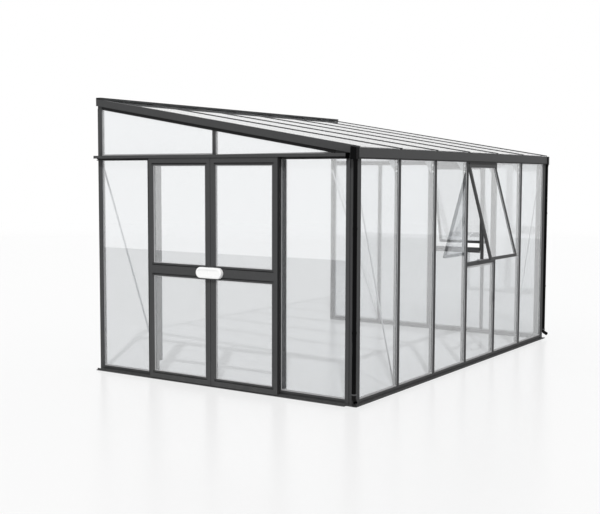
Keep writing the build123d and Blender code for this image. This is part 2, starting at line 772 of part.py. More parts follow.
def door_pull():
    """Half of a long rounded pull that meets its twin on the other leaf."""
    plane = Plane(origin=(-leaf_stand, centre_y, mid_rail_height), x_dir=FORE, z_dir=BACK)
    whole = extrude(plane * SlotOverall(pull_length, pull_height), amount=pull_stand)
    whole = fillet(whole.faces().sort_by(Axis.X)[0].edges(), pull_edge_radius)
    dish = SlotOverall(pull_length - 2 * pull_dish_inset, pull_height - 2 * pull_dish_inset)
    whole -= plane.offset(pull_stand - pull_dish_depth) * extrude(dish, amount=overrun)
    half = block((-leaf_stand - pull_stand, leaf_outer, 0), (-leaf_stand, leaf_inner, leaf_top))
    return whole & half


def edge_seal():
    """Rubber profile down the outer edge of a leaf, set back from its face."""
    front = edge_seal_recess - leaf_stand
    return block((front, leaf_outer - edge_seal_width, leaf_bottom + guide_slot_depth),
                 (front + edge_seal_thick, leaf_outer, leaf_top))


def other_leaf(shape):
    return mirror(shape, about=Plane(origin=(0, centre_y, 0), x_dir=LONG, z_dir=DEEP))


right_leaf = {"frame": [door_leaf()], "panes": door_panes(), "pull": [door_pull()],
              "edge_seal": [edge_seal()],
              "wheels": [door_wheel(leaf_outer + wheel_inset), door_wheel(leaf_inner - wheel_inset)]}
for piece, shapes in right_leaf.items():
    nodes[f"right_door_{piece}"] = shapes
    nodes[f"left_door_{piece}"] = [other_leaf(shape) for shape in shapes]


# Origin at the middle of the footprint, then one file for each node
solids = {name: [solid for shape in shapes for solid in shape.solids()] for name, shapes in nodes.items()}
boxes = [solid.bounding_box() for group in solids.values() for solid in group]
middle_x = (min(box.min.X for box in boxes) + max(box.max.X for box in boxes)) / 2
middle_y = (min(box.min.Y for box in boxes) + max(box.max.Y for box in boxes)) / 2
to_origin = Pos(-middle_x, -middle_y, 0)
os.makedirs("parts", exist_ok=True)
for name, group in solids.items():
    placed = [to_origin * solid for solid in group]
    export_step(placed[0] if len(placed) == 1 else Compound(children=placed), f"parts/{name}.step")
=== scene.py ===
"""Looks of a lean-to glass greenhouse: coated frame, glass, seals, bolts, door and gutter fittings, stage."""
import json
import math

import bmesh
import bpy
from bpy.props import FloatProperty, FloatVectorProperty, PointerProperty
from mathutils import Matrix, Vector


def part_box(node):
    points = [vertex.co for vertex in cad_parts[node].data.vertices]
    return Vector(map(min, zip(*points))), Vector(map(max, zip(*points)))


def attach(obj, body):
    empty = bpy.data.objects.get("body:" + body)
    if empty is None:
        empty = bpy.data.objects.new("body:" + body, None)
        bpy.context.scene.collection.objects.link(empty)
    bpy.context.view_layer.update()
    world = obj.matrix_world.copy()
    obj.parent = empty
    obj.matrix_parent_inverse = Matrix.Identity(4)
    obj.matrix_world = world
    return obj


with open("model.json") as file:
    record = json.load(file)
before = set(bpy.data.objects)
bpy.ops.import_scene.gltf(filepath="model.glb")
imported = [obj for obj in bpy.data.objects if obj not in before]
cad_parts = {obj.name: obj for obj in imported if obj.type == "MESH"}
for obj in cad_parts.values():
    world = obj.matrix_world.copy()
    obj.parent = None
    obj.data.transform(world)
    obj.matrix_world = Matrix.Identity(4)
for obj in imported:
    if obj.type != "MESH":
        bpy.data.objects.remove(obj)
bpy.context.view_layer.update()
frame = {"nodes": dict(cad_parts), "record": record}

bl_info = {
    "name": "Lean-to greenhouse",
    "version": (1, 0, 0),
    "blender": (4, 5, 0),
    "location": "View3D > Sidebar > Greenhouse",
    "description": "Finishes, seals and fittings of a lean-to glass greenhouse on its CAD frame",
    "category": "Object",
}

NODES = frame["nodes"]
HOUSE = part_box("near_front_post")[0]
HOUSE_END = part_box("far_front_post")[1].x
MULLIONS = [f"front_mullion_{number}" for number in range(1, 6)]
LEAVES = ("left", "right")
GABLES = ("near", "far")
UP = Vector((0, 0, 1))
WHITE = (1.0, 1.0, 1.0, 1.0)
IMAGE_WIDTH = 600
SENSOR_WIDTH = 36.0
MERGE_DISTANCE = 1e-6
SOLID_MERGE_DISTANCE = 1e-5
END_DISTANCE = 1e-4
FLOOR_DROP = 0.0005
EDGE_SEGMENTS, PULL_SEGMENTS = 2, 8
HEX_SIDES, ROUND_SIDES, RING_SIDES, FLOOR_SIDES = 6, 24, 40, 96
SCREW_SIDES, SCREW_RINGS = 16, 8
GLASS_IOR = 3.0
DUST_ROUGHNESS = 0.5
LINE_GLOSS = 0.2


# Values that a user would change

def length(name, description, default):
    return FloatProperty(name=name, description=description, default=default, min=0.0, unit="LENGTH",
                         subtype="DISTANCE", precision=4)


def colour(name, description, default):
    return FloatVectorProperty(name=name, description=description, default=default, size=3, min=0.0,
                               max=1.0, subtype="COLOR")


def angle(name, description, degrees):
    return FloatProperty(name=name, description=description, default=math.radians(degrees), subtype="ANGLE")


def share(name, description, default):
    return FloatProperty(name=name, description=description, default=default, min=0.0, max=1.0,
                         subtype="FACTOR")


class GreenhouseTrim(bpy.types.PropertyGroup):
    """Sizes of the seals, strips, bolts and plugs"""
    seal_width: length("Seal width", "Width of the rubber seal that shows round a pane", 0.0035)
    seal_foot: length("Seal foot", "Added height of the seal along the foot of a pane", 0.010)
    seal_proud: length("Seal height", "Height of the seal over the glass", 0.003)
    seal_round: length("Seal rounding", "Rounding of the seal's edges", 0.0009)
    door_seal_proud: length("Door gasket height", "Height of the gasket over a door pane", 0.0105)
    door_seal_width: length("Door gasket width", "Width of the gasket round a door pane", 0.0045)
    door_bite: length("Door pane bite", "How far a door pane sits in its leaf", 0.010)
    sash_bite: length("Sash pane bite", "How far a vent pane sits in its sash", 0.008)
    bolt_across: length("Bolt head", "Radius of a hexagon bolt head", 0.0075)
    bolt_height: length("Bolt height", "Height of a bolt head", 0.005)
    washer_radius: length("Washer", "Radius of the washer under a bolt head", 0.011)
    washer_thick: length("Washer thickness", "Thickness of a washer", 0.0015)
    screw_radius: length("Screw head", "Radius of a domed screw head", 0.0045)
    screw_height: length("Screw height", "Height of a domed screw head", 0.0024)
    plug_thick: length("Plug thickness", "Thickness of the plugs on the ends of rails", 0.004)
    edge_round: length("Edge rounding", "Rounding of small moulded parts", 0.001)
    leaf_face: length("Leaf face", "Width of a leaf's raised face", 0.040)
    leaf_lip: length("Leaf lip", "Width of the lip between a leaf's face and its pane", 0.024)
    groove_width: length("Groove width", "Width of the groove along a leaf's rails", 0.008)
    groove_floor: length("Groove floor", "Depth of the groove below a leaf's face", 0.015)
    # The strips in the leaves' grooves are black and also paint the grooves' shade.
    strip_thick: length("Strip thickness", "Thickness of the rubber strip in a groove", 0.005)
    meeting_gap: length("Meeting gap", "Width of the rubber between the two leaves", 0.0044)
    meeting_recess: length("Meeting recess", "Depth of that rubber behind the leaf's face", 0.007)
    meeting_thick: length("Meeting thickness", "Thickness of that rubber", 0.014)
    pull_round: length("Pull rounding", "Rounding of the pull's long edges", 0.012)
    # Rake strips: black strips that paint the shade under the rakes' band.
    lip_strip: length("Rake strip height", "Height of the rubber strip under the rakes' band", 0.026)
    lip_strip_thick: length("Rake strip thickness", "Thickness of that strip", 0.0025)
    lip_back: length("Rake strip place", "Depth of that strip's back behind the rake's outer face", 0.016)
    # Drip strip: a black strip that paints the shade of the fascia's drip undercut.
    drip_height: length("Drip strip height", "Height of the strip along the foot of the fascia", 0.0095)
    drip_thick: length("Drip strip thickness", "Thickness of that strip", 0.0026)
    drip_back: length("Drip strip place", "Depth of that strip's back behind the fascia", 0.003)
    pipe_radius: length("Pipe radius", "Outer radius of a downpipe", 0.0185)
    pipe_out: length("Pipe place", "Distance of a downpipe's middle outside the gable", 0.030)
    pipe_fore: length("Pipe depth", "Distance of a downpipe's middle before the front face", 0.002)
    clip_wall: length("Clip thickness", "Thickness of a pipe clip", 0.003)
    clip_height: length("Clip height", "Height of a pipe clip", 0.016)
    clip_places: FloatVectorProperty(
        name="Clip places", default=(0.30, 0.72), size=2, min=0.0, max=1.0,
        description="Heights of the clips as shares of the pipe's height")
    stop_length: length("Stop length", "Length of the rubber stops in the door track", 0.022)


class GreenhouseFinish(bpy.types.PropertyGroup):
    """Colours of the finishes, as linear values"""
    coat: colour("Frame coat", "Satin anthracite powder coat", (0.063, 0.0635, 0.0645))
    glass: colour("Wall glass", "Tint of a wall pane seen straight through", (0.850, 0.867, 0.880))
    roof: colour("Roof glass", "Tint of a roof pane seen straight through", (0.880, 0.895, 0.905))
    passing: colour("Light through glass", "Share of lamp light that passes a pane's face",
                    (0.95, 0.955, 0.96))
    aluminium: colour("Bare aluminium", "Braces, knee plates and stays", (0.66, 0.67, 0.68))
    zinc: colour("Zinc", "Bolts and washers", (0.74, 0.74, 0.73))
    black: colour("Black plastic", "Downpipes and end caps", (0.0022, 0.0022, 0.0024))
    grey: colour("Grey plastic", "Collars of the downpipes", (0.055, 0.056, 0.058))
    white: colour("White plastic", "Door pulls", (0.93, 0.93, 0.925))
    rubber: colour("Seal rubber", "Strips and door seals", (0.007, 0.007, 0.0075))
    gasket: colour("Glazing gasket", "Seals round the panes", (0.42, 0.42, 0.425))
    nylon: colour("Nylon", "Door wheels", (0.045, 0.045, 0.046))
    dust: colour("Dust", "Fine dust that settles near the ground", (0.30, 0.285, 0.26))


class GreenhouseStage(bpy.types.PropertyGroup):
    """Camera, lamps and floor"""
    eye: FloatVectorProperty(name="Camera place", description="Where the camera stands", size=3,
                             default=(-9.5173, -5.5851, 1.9183), subtype="TRANSLATION", unit="LENGTH")
    heading: angle("Heading", "Camera heading from +X towards +Y", 33.5565)
    tilt: angle("Tilt", "Camera tilt below level", 4.5411)
    roll: angle("Roll", "Camera roll", 0.1716)
    focal_pixels: FloatProperty(name="Focal length", default=1019.54, min=1.0,
                                description="Focal length in pixels of the picture's width")
    floor_radius: length("Floor radius", "Radius of the pale floor", 60.0)
    fade_start: length("Fade start", "Where the floor starts to turn into the backdrop", 14.0)
    fade_end: length("Fade end", "Where the floor has turned into the backdrop", 30.0)
    floor: colour("Floor", "Pale floor", (0.90, 0.90, 0.90))
    floor_roughness: share("Floor roughness", "Roughness of the floor", 0.22)
    floor_gloss: share("Floor gloss", "Strength of the floor's own reflection", 0.22)
    floor_glow: share("Floor glow", "Share of plain white in the floor as it is seen", 0.55)
    inner_glow: share("Floor glow through glass",
                      "Share of plain white in the floor as it is seen through glass", 0.15)
    # Painted reflection: glass and metal see the floor as a glow of these tones instead of its lit colour; the
    # darker tone on the door gable's side is painted shade, and the glow turns white beyond the given reach.
    painted_reflection_tones: FloatVectorProperty(
        name="Floor in reflections", default=(0.42, 0.74), size=2, min=0.0, max=1.0,
        description="Tone of the floor as the door gable and the front mirror it")
    mirror_turn: length("Change of tone", "Half the width over which one tone turns into the other", 8.0)
    mirror_middle: length("Mirrored floor", "Middle of the floor that shows in the glass", 3.0)
    mirror_reach: length("Mirrored floor reach", "How far that floor reaches to both sides of its middle", 18.0)
    mirror_edge: length("Mirrored floor edge", "Softness of that floor's edge", 0.3)
    dome: FloatProperty(name="Dome light", description="Strength of the soft light from all round",
                        default=0.54)
    key: FloatProperty(name="Key light", description="Strength of the soft key lamp", default=2.0)
    key_height: angle("Key height", "Height of the key lamp above level", 46.0)
    key_heading: angle("Key heading", "Heading that the key lamp shines towards", 33.0)
    key_spread: angle("Key spread", "Apparent size of the key lamp", 1.6)


def trim_sizes():
    return bpy.context.scene.greenhouse_trim


# Shader nodes

def feed(tree, target, values):
    """Links or sets a node's inputs, by name or number."""
    for key, value in values.items():
        if isinstance(value, bpy.types.NodeSocket):
            tree.links.new(value, target.inputs[key])
        else:
            target.inputs[key].default_value = value


def node(tree, kind, values=None, **settings):
    made = tree.nodes.new(kind)
    for key, value in settings.items():
        setattr(made, key, value)
    feed(tree, made, values or {})
    return made


def object_place(tree):
    return node(tree, "ShaderNodeTexCoord").outputs["Object"]


def part_of(tree, vector, axis):
    return node(tree, "ShaderNodeSeparateXYZ", {"Vector": vector}).outputs[axis]


def maths(tree, operation, first, second=0.0):
    return node(tree, "ShaderNodeMath", {0: first, 1: second}, operation=operation).outputs["Value"]


def blend_colours(tree, factor, first, second):
    return node(tree, "ShaderNodeMix", {0: factor, 6: first, 7: second}, data_type="RGBA").outputs[2]


def mix_shaders(tree, factor, first, second):
    return node(tree, "ShaderNodeMixShader", {"Fac": factor, 1: first, 2: second}).outputs["Shader"]


def noise(tree, scale, detail, place=None):
    spot = place or object_place(tree)
    return node(tree, "ShaderNodeTexNoise", {"Vector": spot, "Scale": scale, "Detail": detail}).outputs["Fac"]


def ramp(tree, value, low, high, floor=0.0, ceiling=1.0):
    return node(tree, "ShaderNodeMapRange",
                {"Value": value, "From Min": low, "From Max": high, "To Min": floor, "To Max": ceiling},
                interpolation_type="SMOOTHSTEP").outputs["Result"]


# Shader node groups for effects that several finishes share

def group(name, inputs, outputs):
    """An empty node group; an input given as a tuple is a colour, and so is an output called Color."""
    kinds = {True: "NodeSocketColor", False: "NodeSocketFloat"}
    tree = bpy.data.node_groups.new(name, "ShaderNodeTree")
    for label, value in inputs.items():
        socket = tree.interface.new_socket(label, in_out="INPUT", socket_type=kinds[isinstance(value, tuple)])
        socket.default_value = value
    for label in outputs:
        tree.interface.new_socket(label, in_out="OUTPUT", socket_type=kinds[label == "Color"])
    return tree, tree.nodes.new("NodeGroupInput").outputs, tree.nodes.new("NodeGroupOutput")


def surface_grain_group():
    """Patchy tone, uneven gloss and a fine skin, as a coat or a moulding has."""
    tree, given, out = group("Surface grain", {
        "Color": (0.5, 0.5, 0.5, 1.0), "Tone": 0.1, "Roughness": 0.4, "Gloss spread": 0.08,
        "Grain scale": 600.0}, ("Color", "Roughness", "Height"))
    patches = noise(tree, scale=3.2, detail=4.0)
    flecks = noise(tree, scale=46.0, detail=3.0)
    spread = maths(tree, "SUBTRACT", maths(tree, "ADD", patches, flecks), 1.0)
    tone = maths(tree, "ADD", 1.0, maths(tree, "MULTIPLY", spread, given["Tone"]))
    shade = node(tree, "ShaderNodeVectorMath", {0: given["Color"], "Scale": tone}, operation="SCALE")
    gloss = maths(tree, "MULTIPLY", spread, given["Gloss spread"])
    feed(tree, out, {"Color": shade.outputs["Vector"],
                     "Roughness": maths(tree, "ADD", given["Roughness"], gloss),
                     "Height": noise(tree, scale=given["Grain scale"], detail=2.0)})
    return tree


def settled_dust_group():
    """Fine dust on ledges and near the ground, broken up by a noise."""
    tree, given, out = group("Settled dust", {
        "Color": (0.5, 0.5, 0.5, 1.0), "Dust": (0.3, 0.28, 0.26, 1.0), "Amount": 0.1, "Reach": 0.3},
        ("Color", "Mask"))
    height = part_of(tree, object_place(tree), "Z")
    low = node(tree, "ShaderNodeMapRange", {
        "Value": height, "From Min": 0.0, "From Max": given["Reach"], "To Min": 1.0, "To Max": 0.0})
    facing = part_of(tree, node(tree, "ShaderNodeNewGeometry").outputs["Normal"], "Z")
    ledge = ramp(tree, facing, low=0.4, high=1.0, ceiling=0.7)
    where = maths(tree, "MAXIMUM", low.outputs["Result"], ledge)
    broken = ramp(tree, noise(tree, scale=18.0, detail=5.0), low=0.32, high=0.72)
    mask = maths(tree, "MULTIPLY", maths(tree, "MULTIPLY", where, broken), given["Amount"])
    feed(tree, out, {"Color": blend_colours(tree, mask, given["Color"], given["Dust"]), "Mask": mask})
    return tree


def place_group(tree, name, values):
    builders = {"Surface grain": surface_grain_group, "Settled dust": settled_dust_group}
    shared = bpy.data.node_groups.get(name) or builders[name]()
    return node(tree, "ShaderNodeGroup", values, node_tree=shared).outputs


# Finishes

def blank_material(name):
    material = bpy.data.materials.new(name)
    material.use_nodes = True
    tree = material.node_tree
    return material, tree, tree.nodes["Principled BSDF"], tree.nodes["Material Output"]


def solid_colour(values):
    return (*values, 1.0)


def dusted(tree, grain, amount, **values):
    finish = bpy.context.scene.greenhouse_finish
    return place_group(tree, "Settled dust", {
        "Color": grain["Color"], "Dust": solid_colour(finish.dust), "Amount": amount, **values})


def coated_finish(name, base, roughness, tone, grain_scale, bump, dust, specular=0.5, coat=0.0):
    """An opaque coat or moulding with grain and a little dust."""
    material, tree, shader, _ = blank_material(name)
    grain = place_group(tree, "Surface grain", {
        "Color": solid_colour(base), "Tone": tone, "Roughness": roughness, "Grain scale": grain_scale})
    settled = dusted(tree, grain, dust)
    dull = maths(tree, "MULTIPLY", settled["Mask"], DUST_ROUGHNESS)
    relief = node(tree, "ShaderNodeBump", {"Strength": bump, "Distance": 0.0004, "Height": grain["Height"]})
    feed(tree, shader, {"Base Color": settled["Color"],
                        "Roughness": maths(tree, "ADD", grain["Roughness"], dull),
                        "Normal": relief.outputs["Normal"], "Specular IOR Level": specular,
                        "Coat Weight": coat})
    return material


def brushed_finish(name, base, roughness, stretch):
    """Mill-finish metal with fine drawing lines along the piece."""
    material, tree, shader, _ = blank_material(name)
    place = node(tree, "ShaderNodeMapping", {"Vector": object_place(tree), "Scale": stretch})
    lines = noise(tree, scale=40.0, detail=4.0, place=place.outputs["Vector"])
    grain = place_group(tree, "Surface grain", {
        "Color": solid_colour(base), "Tone": 0.16, "Roughness": roughness, "Gloss spread": 0.14,
        "Grain scale": 300.0})
    uneven = maths(tree, "MULTIPLY", maths(tree, "SUBTRACT", lines, 0.5), LINE_GLOSS)
    relief = node(tree, "ShaderNodeBump", {"Strength": 0.12, "Distance": 0.0003, "Height": lines})
    feed(tree, shader, {"Base Color": grain["Color"], "Metallic": 1.0,
                        "Roughness": maths(tree, "ADD", grain["Roughness"], uneven),
                        "Normal": relief.outputs["Normal"]})
    return material


def glass_finish(name, tint, through, haze):
    """Clear pane that lets lamp light through, with a breath of haze and faint smears."""
    finish = bpy.context.scene.greenhouse_finish
    material, tree, shader, out = blank_material(name)
    grain = place_group(tree, "Surface grain", {
        "Color": solid_colour(tint), "Tone": 0.02, "Roughness": 0.012, "Gloss spread": 0.02,
        "Grain scale": 12.0})
    feed(tree, shader, {"Base Color": dusted(tree, grain, haze, Reach=0.35)["Color"],
                        "Roughness": grain["Roughness"], "Transmission Weight": through, "IOR": GLASS_IOR})
    clear = node(tree, "ShaderNodeBsdfTransparent", {"Color": solid_colour(finish.passing)})
    rays = node(tree, "ShaderNodeLightPath").outputs
    passing = maths(tree, "MAXIMUM", rays["Is Shadow Ray"], rays["Is Diffuse Ray"])
    feed(tree, out, {"Surface": mix_shaders(tree, passing, shader.outputs["BSDF"], clear.outputs["BSDF"])})
    return material


def finishes():
    """All finishes by the name of their material slot, made once."""
    finish = bpy.context.scene.greenhouse_finish
    plastic = dict(grain_scale=420.0, bump=0.10)
    rubber = dict(tone=0.2, grain_scale=520.0, bump=0.18, dust=0.05, specular=0.25)
    table = {
        "frame_coat": (coated_finish, "Anthracite coat", finish.coat,
                       dict(roughness=0.46, tone=0.16, grain_scale=700.0, bump=0.16, dust=0.05, specular=0.06)),
        "wall_glass": (glass_finish, "Clear wall glass", finish.glass, dict(through=0.93, haze=0.03)),
        "roof_glass": (glass_finish, "Clear roof glass", finish.roof, dict(through=0.93, haze=0.02)),
        "bare_aluminium": (brushed_finish, "Mill aluminium", finish.aluminium,
                           dict(roughness=0.34, stretch=(6.0, 6.0, 0.4))),
        "black_plastic": (coated_finish, "Satin black plastic", finish.black,
                          dict(plastic, roughness=0.38, tone=0.2, dust=0.02, specular=0.05)),
        "grey_plastic": (coated_finish, "Satin grey plastic", finish.grey,
                         dict(plastic, roughness=0.40, tone=0.15, dust=0.03)),
        "white_plastic": (coated_finish, "Gloss white plastic", finish.white,
                          dict(roughness=0.24, tone=0.03, grain_scale=260.0, bump=0.05, dust=0.02, coat=0.25)),
        "wheel_nylon": (coated_finish, "Dark nylon", finish.nylon,
                        dict(roughness=0.46, tone=0.15, grain_scale=380.0, bump=0.10, dust=0.03)),
        "seal_rubber": (coated_finish, "Black rubber", finish.rubber, dict(rubber, roughness=0.62)),
        "gasket_rubber": (coated_finish, "Grey gasket", finish.gasket, dict(rubber, roughness=0.60)),
        "bolt_zinc": (brushed_finish, "Zinc plating", finish.zinc,
                      dict(roughness=0.30, stretch=(5.0, 5.0, 5.0))),
    }
    return {slot: bpy.data.materials.get(name) or build(name, base, **values)
            for slot, (build, name, base, values) in table.items()}


# Shapes

def add_piece(name, mesh_data, finish, body="frame"):
    """Turns a bmesh into an object that rides on a body, with its finish as its material."""
    bmesh.ops.remove_doubles(mesh_data, verts=mesh_data.verts, dist=MERGE_DISTANCE)
    bmesh.ops.recalc_face_normals(mesh_data, faces=mesh_data.faces)
    piece = add_object(name, mesh_data, finishes()[finish])
    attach(piece, body)


def add_object(name, mesh_data, material):
    mesh = bpy.data.meshes.new(name)
    mesh_data.to_mesh(mesh)
    mesh_data.free()
    mesh.materials.append(material)
    made = bpy.data.objects.new(name, mesh)
    bpy.context.scene.collection.objects.link(made)
    return made


def only(kind, items):
    return [item for item in items if isinstance(item, kind)]


def axis_vector(axis, size):
    made = Vector((0, 0, 0))
    made[axis] = size
    return made


def round_edges(mesh_data, edges, offset, segments=EDGE_SEGMENTS):
    bmesh.ops.bevel(mesh_data, geom=list(edges), offset=offset, offset_type="OFFSET", affect="EDGES",
                    segments=segments, profile=0.5, material=-1, clamp_overlap=True)


def rounded_block(mesh_data, low, high, rounding=None):
    low, high = Vector(low), Vector(high)
    size = Matrix.Diagonal((*(high - low), 1.0))
    made = bmesh.ops.create_cube(mesh_data, size=1.0, matrix=Matrix.Translation((low + high) / 2) @ size)
    round_edges(mesh_data, {edge for vert in made["verts"] for edge in vert.link_edges},
                rounding or trim_sizes().edge_round)


def sloped_block(mesh_data, low, high):
    """A rounded block that follows the roof's slope along y; its heights are those at y = 0."""
    known = set(mesh_data.verts)
    rounded_block(mesh_data, low, high)
    shear = Matrix(((1, 0, 0, 0), (0, 1, 0, 0), (0, roof_slope(), 1, 0), (0, 0, 0, 1)))
    bmesh.ops.transform(mesh_data, matrix=shear, verts=[vert for vert in mesh_data.verts if vert not in known])


def seal_ring(mesh_data, corners, outward, width, height, foot=0.0):
    """A mitred rubber frame on the glass inside a ring of corners, with an added height along its foot."""
    face = mesh_data.faces.new([mesh_data.verts.new(corner) for corner in corners])
    face.normal_update()
    ring = bmesh.ops.inset_region(mesh_data, faces=[face], thickness=width, use_boundary=True,
                                  use_even_offset=True)["faces"]
    for vert in sorted(face.verts, key=lambda vert: vert.co.z)[:2]:
        vert.co.z += foot
    bmesh.ops.delete(mesh_data, geom=[face], context="FACES_ONLY")
    lifted = bmesh.ops.extrude_face_region(mesh_data, geom=ring, use_keep_orig=True)["geom"]
    bmesh.ops.translate(mesh_data, verts=only(bmesh.types.BMVert, lifted), vec=Vector(outward) * height)
    top = only(bmesh.types.BMFace, lifted)
    rims = {edge for side in top for edge in side.edges if sum(face in top for face in edge.link_faces) == 1}
    round_edges(mesh_data, rims, trim_sizes().seal_round)


def ring_round(mesh_data, centre, inner, outer, height, rounding):
    """A flat ring with broken edges round an upright axis; the centre is at its foot."""
    outline = [(inner, rounding), (inner, height - rounding), (inner + rounding, height),
               (outer - rounding, height), (outer, height - rounding), (outer, rounding),
               (outer - rounding, 0.0), (inner + rounding, 0.0)]
    verts = [mesh_data.verts.new((centre[0] + reach, centre[1], centre[2] + up)) for reach, up in outline]
    edges = [mesh_data.edges.new((verts[index - 1], vert)) for index, vert in enumerate(verts)]
    bmesh.ops.spin(mesh_data, geom=verts + edges, cent=centre, axis=UP, angle=2 * math.pi, steps=RING_SIDES,
                   use_merge=True)


def turned(direction, place):
    """Stands a shape that points up at a place, pointing along a direction."""
    return Matrix.Translation(place) @ Vector(direction).to_track_quat("Z", "Y").to_matrix().to_4x4()


def cylinder(mesh_data, stand, foot, height, sides, radius, top_radius=None):
    """A capped cylinder or cone that starts at a height over its stand."""
    return bmesh.ops.create_cone(mesh_data, cap_ends=True, segments=sides, radius1=radius,
                                 radius2=top_radius or radius, depth=height,
                                 matrix=stand @ Matrix.Translation((0, 0, foot + height / 2)))["verts"]


def hex_bolt(mesh_data, place, direction, trim):
    stand = turned(direction, place)
    cylinder(mesh_data, stand, 0.0, trim.washer_thick, ROUND_SIDES, trim.washer_radius)
    head = cylinder(mesh_data, stand, trim.washer_thick, trim.bolt_height, HEX_SIDES, trim.bolt_across)
    top = stand @ Vector((0, 0, trim.washer_thick + trim.bolt_height))
    rim = {edge for vert in head for edge in vert.link_edges
           if all(abs((end.co - top).dot(stand.col[2].xyz)) < trim.edge_round for end in edge.verts)}
    round_edges(mesh_data, rim, trim.edge_round)


def dome_screw(mesh_data, place, trim):
    shape = Matrix.Diagonal((1.0, 1.0, trim.screw_height / trim.screw_radius, 1.0))
    verts = bmesh.ops.create_uvsphere(mesh_data, u_segments=SCREW_SIDES, v_segments=SCREW_RINGS,
                                      radius=trim.screw_radius, matrix=turned(UP, place) @ shape)["verts"]
    edges = {edge for vert in verts for edge in vert.link_edges}
    faces = {face for vert in verts for face in vert.link_faces}
    cut = bmesh.ops.bisect_plane(mesh_data, geom=[*verts, *edges, *faces], plane_co=place, plane_no=UP,
                                 clear_inner=True)["geom_cut"]
    bmesh.ops.edgeloop_fill(mesh_data, edges=only(bmesh.types.BMEdge, cut))


# Places on the CAD pieces

def solids_of(node_name):
    """Corner lists of the separate solids in a CAD node."""
    mesh_data = bmesh.new()
    mesh_data.from_mesh(NODES[node_name].data)
    bmesh.ops.remove_doubles(mesh_data, verts=mesh_data.verts, dist=SOLID_MERGE_DISTANCE)
    left = dict.fromkeys(mesh_data.verts)
    found = []
    while left:
        waiting, solid = [left.popitem()[0]], []
        while waiting:
            vert = waiting.pop()
            solid.append(vert.co.copy())
            others = [edge.other_vert(vert) for edge in vert.link_edges]
            for other in [other for other in others if other in left]:
                del left[other]
                waiting.append(other)
        found.append(solid)
    mesh_data.free()
    return found


def box_round(corners):
    """Lowest and highest corner of the box round some points."""
    return [Vector([pick(corner[axis] for corner in corners) for axis in range(3)]) for pick in (min, max)]


def boxes_of(node_name):
    """Boxes of a CAD node's solids, from the front to the wall."""
    return sorted((box_round(solid) for solid in solids_of(node_name)), key=lambda box: box[0].y)


def long_axis(low, high):
    return 0 if high.x - low.x > high.y - low.y else 1


def middle_of(box, axis):
    return (box[0][axis] + box[1][axis]) / 2


def pane_face(solid, outward):
    """The outer four corners of a pane, in order round it, and its outward normal."""
    centre = sum(solid, Vector()) / len(solid)
    outer = sorted(solid, key=lambda corner: (corner - centre).dot(outward))[-4:]
    normal = (outer[1] - outer[0]).cross(outer[2] - outer[0]).normalized()
    normal = normal if normal.dot(outward) > 0 else -normal
    middle = sum(outer, Vector()) / 4
    across = (outer[0] - middle).normalized()
    up = normal.cross(across)
    outer.sort(key=lambda corner: math.atan2((corner - middle).dot(up), (corner - middle).dot(across)))
    return outer, normal


def shrunk(corners, inset):
    """Corners moved inwards by an even inset along both sides."""
    moved = []
    for index, corner in enumerate(corners):
        before, after = corners[index - 1], corners[(index + 1) % len(corners)]
        moved.append(corner + ((before - corner).normalized() + (after - corner).normalized()) * inset)
    return moved


def leaning_normal(solid, outward):
    """Outward normal of a pane that leans out at its foot."""
    by_height = sorted(solid, key=lambda corner: corner.z)
    rise = sum(by_height[4:], Vector()) - sum(by_height[:4], Vector())
    normal = rise.cross(Vector((outward.y, -outward.x, 0.0))).normalized()
    return normal if normal.dot(outward) > 0 else -normal


def inward_of(solid):
    """Direction into the house from a flat bar on a wall."""
    low, high = box_round(solid)
    if long_axis(low, high) == 0:
        return Vector((0, 1, 0))
    return axis_vector(0, 1 if low.x < (HOUSE.x + HOUSE_END) / 2 else -1)


def roof_slope():
    corners = [vert.co for vert in NODES["roof_panes"].data.vertices]
    front, back = (side.y for side in box_round(corners))
    low = min(corner.z for corner in corners if corner.y < front + END_DISTANCE)
    high = min(corner.z for corner in corners if corner.y > back - END_DISTANCE)
    return (high - low) / (back - front)


def rake_foot(y):
    """Height of the rakes' underside over a depth y."""
    corners = [vert.co for vert in NODES["near_rake"].data.vertices]
    back = max(corner.y for corner in corners)
    foot = min(corner.z for corner in corners if corner.y > back - END_DISTANCE)
    return foot + roof_slope() * (y - back)


def rake_reaches(height):
    """Depth y at which the rakes' underside has risen to a height."""
    return (height - rake_foot(0.0)) / roof_slope()


def at_gable(side, inward, width):
    """Lowest and highest x of a piece that starts a way inside a gable's face."""
    if side == "near":
        return HOUSE.x + inward, HOUSE.x + inward + width
    return HOUSE_END - inward - width, HOUSE_END - inward


def rectangle(start, end, foot, head):
    return [(start, foot), (end, foot), (end, head), (start, head)]


def lights_between(edges, vent, axis, foot, head):
    """Panes between pairs of edges; the one under a vent ends at the vent's sill."""
    return [rectangle(start, end, foot, vent[0].z if start < middle_of(vent, axis) < end else head)
            for start, end in zip(edges[::2], edges[1::2])]


# Steps

class GreenhouseStep:
    """What the operators share"""
    bl_options = {"REGISTER", "UNDO"}

    @property
    def trim(self):
        return trim_sizes()


class GREENHOUSE_OT_finish_frame(GreenhouseStep, bpy.types.Operator):
    """Gives every CAD piece its finish"""
    bl_idname = "greenhouse.finish_frame"
    bl_label = "Finish the frame"

    def execute(self, context):
        made = finishes()
        for row in frame["record"]["subparts"]:
            piece = NODES[row["node"]]
            piece.data.materials.clear()
            piece.data.materials.append(made[row["material_slot"]])
        return {"FINISHED"}


